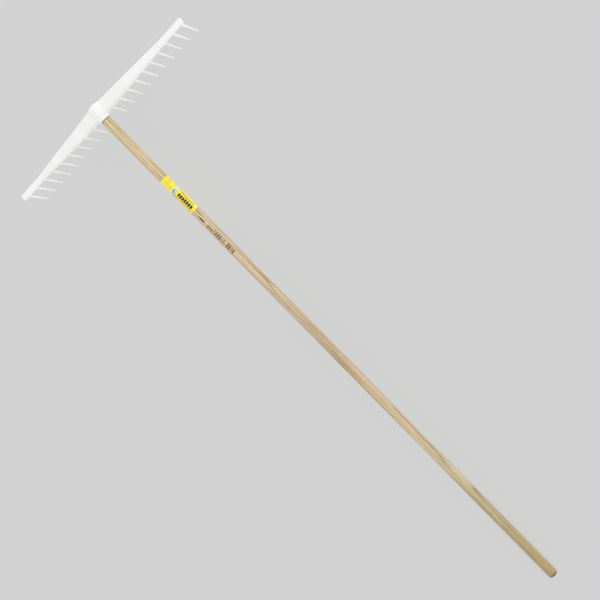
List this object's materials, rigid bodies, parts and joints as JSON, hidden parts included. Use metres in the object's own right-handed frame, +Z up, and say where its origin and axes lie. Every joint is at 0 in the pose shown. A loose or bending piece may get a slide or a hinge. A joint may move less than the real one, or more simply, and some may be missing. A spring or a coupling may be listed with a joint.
{
  "type": "hay rake",
  "caption": "Hay rake with a tapered white nylon head, a row of long round tines and a closed tube socket on a long round ash handle.",
  "frame": {"origin": "on the floor, below the centre of the rake as it rests on the tips of its tines and on the lower edge of its butt", "axes": "+X along the head to the user's left, +Y along the handle from the head to the butt, +Z up"},
  "size_m": [0.694, 1.8016, 0.1189],
  "materials": {
    "nylon": "white injection-moulded nylon, satin",
    "ash": "planed and sanded ash, unvarnished, grain along the pole",
    "label": null,
    "screw": "zinc-plated steel"
  },
  "bodies": {
    "root": {"socket_hub": "nylon", "crossbar_left": "nylon", "crossbar_right": "nylon", "handle": "ash", "label_sleeve": "label", "fixing_screw": "screw", "tine_01": "nylon", "tine_02": "nylon", "tine_03": "nylon", "tine_04": "nylon", "tine_05": "nylon", "tine_06": "nylon", "tine_07": "nylon", "tine_08": "nylon", "tine_09": "nylon", "tine_10": "nylon", "tine_11": "nylon", "tine_12": "nylon", "tine_13": "nylon", "tine_14": "nylon", "tine_15": "nylon", "tine_16": "nylon", "tine_17": "nylon", "tine_18": "nylon", "tine_19": "nylon", "tine_20": "nylon"}
  },
  "joints": []
}
